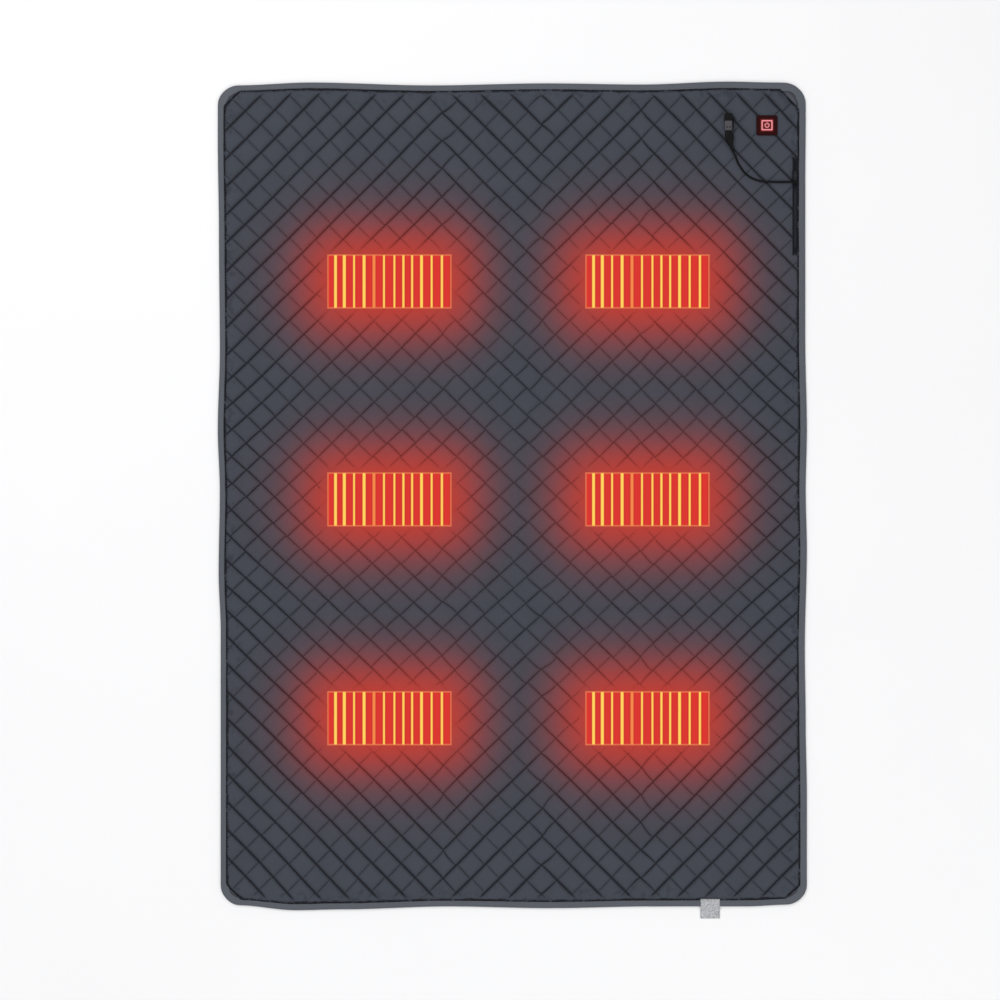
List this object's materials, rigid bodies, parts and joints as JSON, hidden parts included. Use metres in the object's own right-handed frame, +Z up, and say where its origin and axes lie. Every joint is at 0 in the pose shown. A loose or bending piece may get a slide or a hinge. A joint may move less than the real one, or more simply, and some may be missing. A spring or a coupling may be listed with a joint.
{
  "type": "heated blanket",
  "caption": "Flat quilted infrared heating blanket with sewn-in pads, a corner power button, a zip pocket and a short cord ending in a plug.",
  "frame": {"origin": "centre of the footprint, the care label included, on the surface that the blanket lies on", "axes": "+Z up out of the quilted face; +Y towards the end with the controller; +X towards the side with the controller and the zip"},
  "size_m": [1, 1.43, 0.0149],
  "materials": {
    "quilted_cloth": "matt woven polyester, quilted",
    "back_cloth": "matt plain weave",
    "lining_cloth": "matt non-woven",
    "wadding": "soft fibre",
    "binding_tape": "matt woven tape with a slight sheen",
    "pad_film": "satin film",
    "carbon_strip": "matt printed carbon, glowing when on",
    "wire_ribbon": "satin",
    "connector_plastic": "matt",
    "black_rubber": "satin",
    "controller_plastic": "satin",
    "button_plastic": "satin",
    "lit_icon": "lit when on",
    "circuit_board": "solder mask",
    "led_lens": "clear tinted",
    "zip_tape": "woven tape",
    "zip_coil": "satin",
    "zip_metal": "black paint",
    "plug_metal": "bright nickel",
    "contact_gold": "gold plate",
    "label_cloth": "satin woven"
  },
  "bodies": {
    "right_half": {"back_cover_right": "back_cloth", "lining_right": "lining_cloth", "wadding_right": "wadding", "face_cover_right": "quilted_cloth", "edge_binding_right": "binding_tape", "pad_film_right_top": "pad_film", "carbon_grid_right_top": "carbon_strip", "pad_film_right_middle": "pad_film", "carbon_grid_right_middle": "carbon_strip", "pad_film_right_bottom": "pad_film", "carbon_grid_right_bottom": "carbon_strip", "harness_right": "wire_ribbon", "harness_connector": "connector_plastic", "supply_lead": "black_rubber", "pocket_lining": "lining_cloth", "controller_base": "controller_plastic", "controller_bezel": "controller_plastic", "controller_board": "circuit_board", "tact_switch": "connector_plastic", "indicator_led": "led_lens", "zip_tape_inner": "zip_tape", "zip_tape_outer": "zip_tape", "zip_coil_inner": "zip_coil", "zip_coil_outer": "zip_coil", "zip_top_stop": "zip_metal", "zip_bottom_stop": "zip_metal", "cord_grommet": "black_rubber", "usb_cord": "black_rubber", "usb_plug_body": "black_rubber", "usb_shell": "plug_metal", "usb_tongue": "connector_plastic", "usb_contacts": "contact_gold", "cap_tether": "black_rubber", "care_label": "label_cloth"},
    "left_half": {"back_cover_left": "back_cloth", "lining_left": "lining_cloth", "wadding_left": "wadding", "face_cover_left": "quilted_cloth", "edge_binding_left": "binding_tape", "pad_film_left_top": "pad_film", "carbon_grid_left_top": "carbon_strip", "pad_film_left_middle": "pad_film", "carbon_grid_left_middle": "carbon_strip", "pad_film_left_bottom": "pad_film", "carbon_grid_left_bottom": "carbon_strip", "harness_left": "wire_ribbon"},
    "button": {"power_button": "button_plastic", "icon_frame": "lit_icon", "icon_ring": "lit_icon", "icon_bar": "lit_icon", "switch_plunger": "connector_plastic"},
    "slider": {"zip_slider": "zip_metal"},
    "pull_tab": {"zip_pull_tab": "zip_metal"},
    "cap": {"usb_cap": "black_rubber"}
  },
  "joints": [
    {"name": "fold", "type": "hinge", "parent": "right_half", "child": "left_half", "pos_m": [0, 0.0125, 0.0133], "axis": [0, 1, 0], "range_deg": [0, 180]},
    {"name": "button_press", "type": "slide", "parent": "right_half", "child": "button", "axis": [0, 0, -1], "range_m": [0, 0.0005], "stiffness_N_per_m": 300},
    {"name": "zip_slide", "type": "slide", "parent": "right_half", "child": "slider", "axis": [0, 1, 0], "range_m": [0, 0.02]},
    {"name": "tab_swing", "type": "hinge", "parent": "slider", "child": "pull_tab", "pos_m": [0.4836, 0.5565, 0.0072], "axis": [1, 0, 0], "range_deg": [0, 110]},
    {"name": "cap_pull", "type": "slide", "parent": "right_half", "child": "cap", "axis": [0, 1, 0], "range_m": [-0.008, 0.006]}
  ]
}
